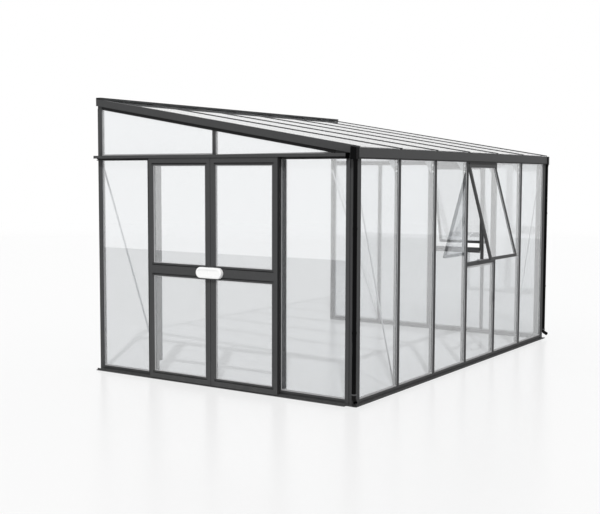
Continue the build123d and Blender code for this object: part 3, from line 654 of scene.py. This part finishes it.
class GREENHOUSE_OT_glazing_seals(GreenhouseStep, bpy.types.Operator):
    """Lays rubber seals round the fixed panes, the door panes and the vent panes"""
    bl_idname = "greenhouse.glazing_seals"
    bl_label = "Glazing seals"

    def execute(self, context):
        self.upright_seals("front", self.front_lights(), 1)
        self.upright_seals("near_gable", self.near_lights(), 0)
        self.upright_seals("far_gable", self.far_lights(), 0)
        for side in LEAVES:
            self.door_seals(side)
        self.vent_seals()
        return {"FINISHED"}

    def ring(self, mesh_data, corners, outward, foot=0.0):
        seal_ring(mesh_data, corners, outward, self.trim.seal_width, self.trim.seal_proud, foot)

    def upright_seals(self, wall, lights, across):
        """Seals on both faces of a wall's panes; a light is four (along, height) corners."""
        mesh_data = bmesh.new()
        for light in lights:
            for face, sign in zip(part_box(f"{wall}_panes"), (-1, 1)):
                corners = [Vector((along, along, height)) for along, height in light]
                for corner in corners:
                    corner[across] = face[across]
                self.ring(mesh_data, corners, axis_vector(across, sign), self.trim.seal_foot)
        add_piece(f"{wall}_seals", mesh_data, "gasket_rubber")

    def front_lights(self):
        edges = [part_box("near_front_post")[1].x, *[side.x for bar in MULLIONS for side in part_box(bar)],
                 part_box("far_front_post")[0].x]
        return lights_between(edges, boxes_of("vent_sill_rails")[0], 0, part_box("front_base_rail")[1].z,
                              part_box("eaves_gutter")[0].z)

    def near_lights(self):
        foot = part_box("near_gable_base_rail")[1].z
        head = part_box("near_gable_transom")[0].z
        sides = [(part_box("near_front_post")[1].y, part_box("right_door_jamb")[0].y),
                 (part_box("left_door_jamb")[1].y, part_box("near_wall_post")[0].y)]
        return [rectangle(start, end, foot, head) for start, end in sides] + self.top_lights("near")

    def far_lights(self):
        posts = boxes_of("far_gable_posts")
        edges = [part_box("far_front_post")[1].y, *[side.y for post in posts for side in post],
                 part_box("far_wall_post")[0].y]
        return lights_between(edges, boxes_of("vent_sill_rails")[1], 1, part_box("far_gable_base_rail")[1].z,
                              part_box("far_gable_transom")[0].z) + self.top_lights("far")

    def top_lights(self, side):
        """The two panes between a gable's transom and its rake."""
        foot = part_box(f"{side}_gable_transom")[1].z
        low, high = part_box("gable_centre_bars")
        start = max(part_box(f"{side}_front_post")[1].y, rake_reaches(foot + self.trim.seal_width))
        ends = [(start, low.y), (high.y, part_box(f"{side}_wall_post")[0].y)]
        return [[(start, foot), (end, foot), (end, rake_foot(end)), (start, rake_foot(start))]
                for start, end in ends]

    def door_seals(self, side):
        trim = self.trim
        mesh_data = bmesh.new()
        for solid in solids_of(f"{side}_door_panes"):
            for sign, height in ((-1, trim.door_seal_proud), (1, trim.seal_proud)):
                corners, normal = pane_face(solid, axis_vector(0, sign))
                seal_ring(mesh_data, shrunk(corners, trim.door_bite), normal, trim.door_seal_width, height)
        add_piece(f"{side}_door_seals", mesh_data, "gasket_rubber", f"{side}_door")

    def vent_seals(self):
        mesh_data = bmesh.new()
        panes = sorted(solids_of("vent_panes"), key=lambda solid: box_round(solid)[0].y)
        for solid, outward in zip(panes, (axis_vector(1, -1), axis_vector(0, 1))):
            leaning = leaning_normal(solid, outward)
            for direction in (leaning, -leaning):
                corners, normal = pane_face(solid, direction)
                self.ring(mesh_data, shrunk(corners, self.trim.sash_bite), normal)
        add_piece("vent_seals", mesh_data, "gasket_rubber")


class GREENHOUSE_OT_door_trim(GreenhouseStep, bpy.types.Operator):
    """Fits black strips in the leaves' rail grooves, which also paint the grooves' shade, the meeting seal and
    the pull's joint
    """
    bl_idname = "greenhouse.door_trim"
    bl_label = "Door trim"

    def execute(self, context):
        for side in LEAVES:
            self.groove_shade_strips(side)
        self.meeting_seal()
        self.pull_joint()
        return {"FINISHED"}

    def groove_shade_strips(self, side):
        trim = self.trim
        low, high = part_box(f"{side}_door_frame")
        floor = low.x + trim.groove_floor
        lip = trim.leaf_lip - trim.door_bite
        mesh_data = bmesh.new()
        # Painted shade: black rubber strips lie in the rails' grooves, dark enough to stand in for the grooves'
        # shade.
        for pane_low, pane_high in boxes_of(f"{side}_door_panes"):
            for base in (pane_low.z - lip, pane_high.z + lip - trim.groove_width):
                rounded_block(mesh_data, (floor - trim.strip_thick, low.y + trim.leaf_face, base),
                              (floor, high.y - trim.leaf_face, base + trim.groove_width))
        add_piece(f"{side}_door_groove_strips", mesh_data, "seal_rubber", f"{side}_door")

    def meeting_seal(self):
        trim = self.trim
        low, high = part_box("left_door_frame")
        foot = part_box("left_door_edge_seal")[0].z
        front = low.x + trim.meeting_recess
        mesh_data = bmesh.new()
        rounded_block(mesh_data, (front, low.y - trim.meeting_gap, foot),
                      (front + trim.meeting_thick, low.y, high.z))
        add_piece("left_door_meeting_seal", mesh_data, "seal_rubber", "left_door")

    def pull_joint(self):
        """Closes the pull over the gap between the leaves."""
        trim = self.trim
        low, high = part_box("left_door_pull")
        mesh_data = bmesh.new()
        corners = [(high.x, low.z), (low.x, low.z), (low.x, high.z), (high.x, high.z)]
        side = mesh_data.faces.new([mesh_data.verts.new((x, low.y, z)) for x, z in corners])
        pushed = bmesh.ops.extrude_face_region(mesh_data, geom=[side], use_keep_orig=True)["geom"]
        bmesh.ops.translate(mesh_data, vec=axis_vector(1, -trim.meeting_gap),
                            verts=only(bmesh.types.BMVert, pushed))
        front = [edge for edge in mesh_data.edges
                 if all(abs(end.co.x - low.x) < trim.edge_round for end in edge.verts)
                 and abs(edge.verts[0].co.y - edge.verts[1].co.y) > trim.edge_round]
        round_edges(mesh_data, front, trim.pull_round, PULL_SEGMENTS)
        add_piece("left_door_pull_joint", mesh_data, "white_plastic", "left_door")


class GREENHOUSE_OT_roof_trim(GreenhouseStep, bpy.types.Operator):
    """Fits black strips under the rakes' band, which paint the shade on the band's lip, and the plugs at the
    roof bars' feet
    """
    bl_idname = "greenhouse.roof_trim"
    bl_label = "Roof trim"

    def execute(self, context):
        self.rake_shade_strips()
        self.bar_plugs()
        return {"FINISHED"}

    def rake_shade_strips(self):
        trim = self.trim
        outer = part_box("near_rake")[0].x - HOUSE.x
        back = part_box("ridge_wall_plate")[0].y
        foot = rake_foot(0.0)
        start = rake_reaches(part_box("near_gable_transom")[1].z + trim.edge_round)
        mesh_data = bmesh.new()
        # Painted shade: a black strip under each rake's band stands in for the shade that the band casts on its
        # lip.
        for side in GABLES:
            low_x, high_x = at_gable(side, outer + trim.lip_back - trim.lip_strip_thick, trim.lip_strip_thick)
            sloped_block(mesh_data, (low_x, start, foot), (high_x, back, foot + trim.lip_strip))
        add_piece("rake_shade_strips", mesh_data, "seal_rubber")

    def bar_plugs(self):
        """Moulded plugs that close the eaves ends of the roof bars."""
        trim = self.trim
        mesh_data = bmesh.new()
        for solid in solids_of("roof_bars"):
            front = box_round(solid)[0].y
            low, high = box_round([corner for corner in solid if corner.y < front + trim.edge_round])
            rounded_block(mesh_data, (low.x, front - trim.plug_thick, low.z), (high.x, front, high.z))
        add_piece("roof_bar_plugs", mesh_data, "black_plastic")


class GREENHOUSE_OT_gutter_trim(GreenhouseStep, bpy.types.Operator):
    """Fits a black strip in the fascia's drip, which paints the shade of its undercut, the outlet rings and the
    downpipes' clips
    """
    bl_idname = "greenhouse.gutter_trim"
    bl_label = "Gutter trim"

    def execute(self, context):
        self.drip_shade_strip()
        self.pipe_fittings()
        return {"FINISHED"}

    def drip_shade_strip(self):
        trim = self.trim
        low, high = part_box("eaves_gutter")
        back = low.y + trim.drip_back
        mesh_data = bmesh.new()
        # Painted shade: a black strip in the fascia's drip undercut stands in for the undercut's shade.
        rounded_block(mesh_data, (low.x, back - trim.drip_thick, low.z),
                      (high.x, back, low.z + trim.drip_height), trim.edge_round / 2)
        add_piece("gutter_drip_strip", mesh_data, "seal_rubber")

    def pipe_fittings(self):
        trim = self.trim
        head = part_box("gutter_end_caps")[0].z
        outer = trim.pipe_radius + trim.clip_wall
        clips = [head * place for place in trim.clip_places]
        mesh_data = bmesh.new()
        for side in GABLES:
            middle = at_gable(side, -trim.pipe_out, 0.0)[0]
            for base in (head - trim.clip_height, *clips):
                ring_round(mesh_data, (middle, HOUSE.y - trim.pipe_fore, base), trim.pipe_radius, outer,
                           trim.clip_height, trim.edge_round)
            gap = trim.pipe_out - trim.pipe_radius
            low_x, high_x = at_gable(side, -gap, gap)
            for base in clips:
                rounded_block(mesh_data, (low_x, HOUSE.y + trim.edge_round, base),
                              (high_x, HOUSE.y + outer / 2, base + trim.clip_height))
        add_piece("pipe_fittings", mesh_data, "black_plastic")


class GREENHOUSE_OT_fasteners(GreenhouseStep, bpy.types.Operator):
    """Bolts the knee plates and braces, and screws the hood and the stays"""
    bl_idname = "greenhouse.fasteners"
    bl_label = "Fasteners"
    knee_places: FloatVectorProperty(
        name="Knee bolts", size=4, default=(0.040, 0.100, 0.100, 0.155), subtype="XYZ_LENGTH", unit="LENGTH",
        description="Two drops below the eaves and two depths along the roof bar")
    knee_line: length("Knee bolt line", "Depth of the mullion's bolts behind the front face", 0.037)
    roof_line: length("Roof bolt line", "Depth of the roof bar's bolts below the roof's top line", 0.042)
    knee_pack: length("Knee pack", "Thickness of a knee plate and the web that it is bolted to", 0.018)
    rake_depth: length("Rake depth", "Height of the roof's top line over the rakes' underside", 0.094)
    brace_end: length("Brace end", "Distance of a brace's bolt from its end", 0.014)
    stay_foot: length("Stay foot", "Depth of the stays' screws behind the wall's face", 0.027)
    stay_rise: length("Stay rise", "Height of a stay's foot over its sill rail", 0.014)
    hood_line: length("Hood line", "Distance of the hood's screws from the wall", 0.030)

    def execute(self, context):
        bolts, screws = bmesh.new(), bmesh.new()
        for place, direction in self.knee_bolts() + self.brace_bolts():
            hex_bolt(bolts, place, direction, self.trim)
        add_piece("frame_bolts", bolts, "bolt_zinc")
        for place in self.hood_screws() + self.stay_screws():
            dome_screw(screws, place, self.trim)
        add_piece("frame_screws", screws, "bolt_zinc")
        return {"FINISHED"}

    def knee_bolts(self):
        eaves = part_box("eaves_gutter")[0].z
        drops, depths = self.knee_places[:2], self.knee_places[2:]
        spots = [(self.knee_line, eaves - drop) for drop in drops]
        spots += [(depth, rake_foot(HOUSE.y + depth) + self.rake_depth - self.roof_line) for depth in depths]
        found = []
        for low, high in boxes_of("knee_plates"):
            for depth, height in spots:
                for x, sign in ((high.x, 1), (high.x - self.knee_pack, -1)):
                    found.append((Vector((x, HOUSE.y + depth, height)), axis_vector(0, sign)))
        return found

    def brace_bolts(self):
        found = []
        for solid in solids_of("diagonal_braces"):
            inward = inward_of(solid)
            by_height = sorted(solid, key=lambda corner: corner.z)
            foot, head = sum(by_height[:4], Vector()) / 4, sum(by_height[4:], Vector()) / 4
            along = (head - foot).normalized()
            face = max(corner.dot(inward) for corner in solid)
            for end in (foot + along * self.brace_end, head - along * self.brace_end):
                found.append((end + inward * (face - end.dot(inward)), inward))
        return found

    def hood_screws(self):
        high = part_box("ridge_wall_plate")[1]
        middles = [middle_of(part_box(bar), 0) for bar in MULLIONS]
        bay = middles[1] - middles[0]
        spots = [middles[0] - bay / 2] + [middle + bay / 2 for middle in middles]
        return [Vector((x, high.y - self.hood_line, high.z)) for x in spots]

    def stay_screws(self):
        front, far = boxes_of("vent_sill_rails")
        height = front[1].z + self.stay_rise
        return [Vector((middle_of(front, 0), HOUSE.y + self.stay_foot, height)),
                Vector((HOUSE_END - self.stay_foot, middle_of(far, 1), height))]


class GREENHOUSE_OT_rail_ends(GreenhouseStep, bpy.types.Operator):
    """Plugs the ends of the door track and hinge rails, and sets the rubber stops in the track"""
    bl_idname = "greenhouse.rail_ends"
    bl_label = "Rail ends"
    hinge_radius: length("Hinge bead", "Radius of the hinge rails' beads", 0.006)
    hinge_drop: length("Hinge drop", "Eaves to the hinge line", 0.017)
    stop_width: length("Stop width", "Width of a track stop", 0.015)
    stop_height: length("Stop height", "Height of a track stop", 0.028)

    def execute(self, context):
        trim = self.trim
        low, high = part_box("door_top_track")
        plugs, stops = bmesh.new(), bmesh.new()
        rounded_block(plugs, (low.x, low.y - trim.plug_thick, low.z), (high.x - trim.edge_round, low.y, high.z))
        self.hinge_plugs(plugs)
        add_piece("rail_end_plugs", plugs, "black_plastic")
        back, top = high.x - trim.strip_thick, high.z - trim.strip_thick
        for start in (low.y, high.y - trim.stop_length):
            rounded_block(stops, (back - self.stop_width, start, top - self.stop_height),
                          (back, start + trim.stop_length, top))
        add_piece("track_stops", stops, "seal_rubber")
        return {"FINISHED"}

    def hinge_plugs(self, plugs):
        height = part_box("eaves_gutter")[0].z - self.hinge_drop
        for low, high in boxes_of("vent_hinge_rails"):
            along = long_axis(low, high)
            for end, sign in ((low[along], -1), (high[along], 1)):
                place = Vector((HOUSE_END, HOUSE.y, height))
                place[along] = end
                cylinder(plugs, turned(axis_vector(along, sign), place), 0.0, self.trim.plug_thick, ROUND_SIDES,
                         self.hinge_radius, self.hinge_radius - self.trim.edge_round)


class GREENHOUSE_OT_vent_stops(GreenhouseStep, bpy.types.Operator):
    """Sets the strips that the vents close against, and the lips under their sills"""
    bl_idname = "greenhouse.vent_stops"
    bl_label = "Vent stops"
    behind: length("Place", "Depth of a strip behind the wall's outer face", 0.026)
    thick: length("Thickness", "Thickness of a strip", 0.014)
    reach: length("Reach", "How far a strip reaches to both sides of its bar's edge", 0.010)
    lip_drop: length("Lip", "Height of the lip under a sill", 0.026)
    head_gap: length("Head gap", "Eaves to the head of the strips", 0.006)

    def execute(self, context):
        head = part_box("eaves_gutter")[0].z - self.head_gap
        mesh_data = bmesh.new()
        for low, high in boxes_of("vent_sill_rails"):
            along = long_axis(low, high)
            outer, inner = (low.y, high.y) if along == 0 else (high.x, low.x)
            inward = 1 if inner > outer else -1
            near = outer + inward * self.behind
            for side in (low[along], high[along]):
                self.strip(mesh_data, along, (side - self.reach, side + self.reach),
                           (near, near + inward * self.thick), (high.z, head))
            self.strip(mesh_data, along, (low[along], high[along]), (inner - inward * self.thick, inner),
                       (low.z - self.lip_drop, low.z))
        add_piece("vent_stop_strips", mesh_data, "frame_coat")
        return {"FINISHED"}

    def strip(self, mesh_data, along, ends, sides, heights):
        low, high = Vector((0, 0, heights[0])), Vector((0, 0, heights[1]))
        low[along], high[along] = ends
        low[1 - along], high[1 - along] = sorted(sides)
        rounded_block(mesh_data, low, high)


class GREENHOUSE_OT_jamb_covers(GreenhouseStep, bpy.types.Operator):
    """Clips covers with a rubber edge on the inner sides of the door jambs"""
    bl_idname = "greenhouse.jamb_covers"
    bl_label = "Jamb covers"
    width: length("Width", "Width of a cover", 0.014)
    depth: length("Depth", "Depth of a cover", 0.036)
    edge_depth: length("Edge depth", "Depth of its rubber edge", 0.009)
    brace_near: length("Brace distance", "Largest distance of a brace's foot from its jamb's middle", 0.050)
    brace_room: length("Brace room", "Height kept free over a brace's foot", 0.070)

    def execute(self, context):
        covers, edges = bmesh.new(), bmesh.new()
        for side in LEAVES:
            low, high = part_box(f"{side}_door_jamb")
            middle = (low + high) / 2
            foot = self.foot(middle, low.z)
            for mesh_data, face, depth in ((covers, high.x, self.depth),
                                           (edges, high.x + self.depth, self.edge_depth)):
                rounded_block(mesh_data, (face, middle.y - self.width / 2, foot),
                              (face + depth, middle.y + self.width / 2, high.z))
        add_piece("door_jamb_covers", covers, "frame_coat")
        add_piece("door_jamb_cover_edges", edges, "seal_rubber")
        return {"FINISHED"}

    def foot(self, middle, plain_foot):
        """Foot of a cover, over the foot of a brace where one meets the jamb."""
        for solid in solids_of("diagonal_braces"):
            lowest = min(solid, key=lambda corner: corner.z)
            if (lowest.xy - middle.xy).length < self.brace_near:
                return lowest.z + self.brace_room
        return plain_foot


def pointing(heading, below):
    """Direction with a heading from +X towards +Y and an angle below level."""
    return Vector((math.cos(heading) * math.cos(below), math.sin(heading) * math.cos(below), -math.sin(below)))


class GREENHOUSE_OT_stage(GreenhouseStep, bpy.types.Operator):
    """Sets up the floor, the light and the camera"""
    bl_idname = "greenhouse.stage"
    bl_label = "Stage"

    def execute(self, context):
        setup = context.scene.greenhouse_stage
        context.scene.view_settings.view_transform = "Standard"
        self.add_floor(setup)
        self.add_light(context, setup)
        self.add_camera(context, setup)
        return {"FINISHED"}

    def add_floor(self, setup):
        mesh_data = bmesh.new()
        bmesh.ops.create_circle(mesh_data, cap_ends=True, segments=FLOOR_SIDES, radius=setup.floor_radius,
                                matrix=Matrix.Translation((0, 0, -FLOOR_DROP)))
        floor = add_object("floor", mesh_data, self.floor_material(setup))

    def floor_material(self, setup):
        """Pale satin floor that turns into the white backdrop with distance; in reflections it shows as a glow
        of set tones, a painted reflection whose darker tone on the door gable's side is painted shade.
        """
        material, tree, shader, out = blank_material("Pale floor")
        feed(tree, shader, {"Base Color": solid_colour(setup.floor), "Roughness": setup.floor_roughness,
                            "Specular IOR Level": setup.floor_gloss})
        place = object_place(tree)
        rays = node(tree, "ShaderNodeLightPath").outputs
        distance = node(tree, "ShaderNodeVectorMath", {0: place}, operation="LENGTH").outputs["Value"]
        far_off = ramp(tree, distance, setup.fade_start, setup.fade_end)
        seen, through = (maths(tree, "MULTIPLY", maths(tree, "MAXIMUM", far_off, least), rays[ray])
                         for least, ray in ((setup.floor_glow, "Is Camera Ray"),
                                            (setup.inner_glow, "Is Transmission Ray")))
        glow = node(tree, "ShaderNodeEmission", {"Color": WHITE, "Strength": 1.0})
        white = mix_shaders(tree, maths(tree, "MAXIMUM", seen, through), shader.outputs["BSDF"],
                            glow.outputs["Emission"])
        # Painted reflection: glossy reflection rays see a glow instead of the lit floor; its tone is lower on
        # the door gable's side, which paints shade there, and it turns white beyond the floor's reach.
        along = part_of(tree, place, "X")
        aside = maths(tree, "ABSOLUTE", maths(tree, "SUBTRACT", along, setup.mirror_middle))
        tone = ramp(tree, along, -setup.mirror_turn, setup.mirror_turn, *setup.painted_reflection_tones)
        edge = ramp(tree, aside, setup.mirror_reach - setup.mirror_edge, setup.mirror_reach)
        level = maths(tree, "MAXIMUM", tone, edge)
        painted_reflection = node(tree, "ShaderNodeEmission", {"Color": WHITE, "Strength": level})
        mirror_ray = maths(tree, "MULTIPLY", rays["Is Glossy Ray"], rays["Is Reflection Ray"])
        feed(tree, out, {"Surface": mix_shaders(tree, mirror_ray, white, painted_reflection.outputs["Emission"])})
        return material

    def add_light(self, context, setup):
        """A soft dome that is seen as plain white, and one soft key lamp."""
        world = bpy.data.worlds.new("Studio")
        context.scene.world = world
        world.use_nodes = True
        tree = world.node_tree
        soft = tree.nodes["Background"]
        feed(tree, soft, {"Color": WHITE, "Strength": setup.dome})
        white = node(tree, "ShaderNodeBackground", {"Color": WHITE, "Strength": 1.0})
        rays = node(tree, "ShaderNodeLightPath").outputs
        seen = maths(tree, "MAXIMUM", rays["Is Camera Ray"],
                     maths(tree, "MAXIMUM", rays["Is Glossy Ray"], rays["Is Transmission Ray"]))
        feed(tree, tree.nodes["World Output"], {"Surface": mix_shaders(
            tree, seen, soft.outputs["Background"], white.outputs["Background"])})
        lamp = bpy.data.lights.new("key", "SUN")
        lamp.energy = setup.key
        lamp.angle = setup.key_spread
        key = bpy.data.objects.new("key", lamp)
        aim = pointing(setup.key_heading, setup.key_height)
        key.matrix_world = aim.to_track_quat("-Z", "Y").to_matrix().to_4x4()
        context.scene.collection.objects.link(key)

    def add_camera(self, context, setup):
        lens = bpy.data.cameras.new("camera")
        lens.sensor_width = SENSOR_WIDTH
        lens.lens = setup.focal_pixels * SENSOR_WIDTH / IMAGE_WIDTH
        lens.clip_end = 2 * setup.floor_radius
        ahead = pointing(setup.heading, setup.tilt)
        right = Vector((math.sin(setup.heading), -math.cos(setup.heading), 0.0))
        up = right.cross(ahead)
        lean = Matrix.Rotation(setup.roll, 3, -ahead)
        turn = Matrix((lean @ right, lean @ up, -ahead)).transposed().to_4x4()
        camera = bpy.data.objects.new("camera", lens)
        camera.matrix_world = Matrix.Translation(setup.eye) @ turn
        context.scene.collection.objects.link(camera)
        context.scene.camera = camera


class GREENHOUSE_PT_panel(bpy.types.Panel):
    """Lists the greenhouse's steps in the sidebar"""
    bl_label = "Greenhouse"
    bl_idname = "GREENHOUSE_PT_panel"
    bl_space_type = "VIEW_3D"
    bl_region_type = "UI"
    bl_category = "Greenhouse"

    def draw(self, context):
        for step in STEPS:
            self.layout.operator(step.bl_idname)


STEPS = [GREENHOUSE_OT_finish_frame, GREENHOUSE_OT_glazing_seals, GREENHOUSE_OT_door_trim,
         GREENHOUSE_OT_roof_trim, GREENHOUSE_OT_gutter_trim, GREENHOUSE_OT_fasteners, GREENHOUSE_OT_rail_ends,
         GREENHOUSE_OT_vent_stops, GREENHOUSE_OT_jamb_covers, GREENHOUSE_OT_stage]
GROUPS = {"greenhouse_trim": GreenhouseTrim, "greenhouse_finish": GreenhouseFinish,
          "greenhouse_stage": GreenhouseStage}


def register():
    for name, values in GROUPS.items():
        bpy.utils.register_class(values)
        setattr(bpy.types.Scene, name, PointerProperty(type=values))
    for step in STEPS:
        bpy.utils.register_class(step)
    bpy.utils.register_class(GREENHOUSE_PT_panel)


def unregister():
    bpy.utils.unregister_class(GREENHOUSE_PT_panel)
    for step in reversed(STEPS):
        bpy.utils.unregister_class(step)
    for name, values in GROUPS.items():
        delattr(bpy.types.Scene, name)
        bpy.utils.unregister_class(values)


def main():
    register()
    bpy.ops.greenhouse.finish_frame()
    bpy.ops.greenhouse.glazing_seals()
    bpy.ops.greenhouse.door_trim()
    bpy.ops.greenhouse.roof_trim()
    bpy.ops.greenhouse.gutter_trim()
    bpy.ops.greenhouse.fasteners()
    bpy.ops.greenhouse.rail_ends()
    bpy.ops.greenhouse.vent_stops()
    bpy.ops.greenhouse.jamb_covers()
    bpy.ops.greenhouse.stage()


if __name__ == "__main__":
    main()
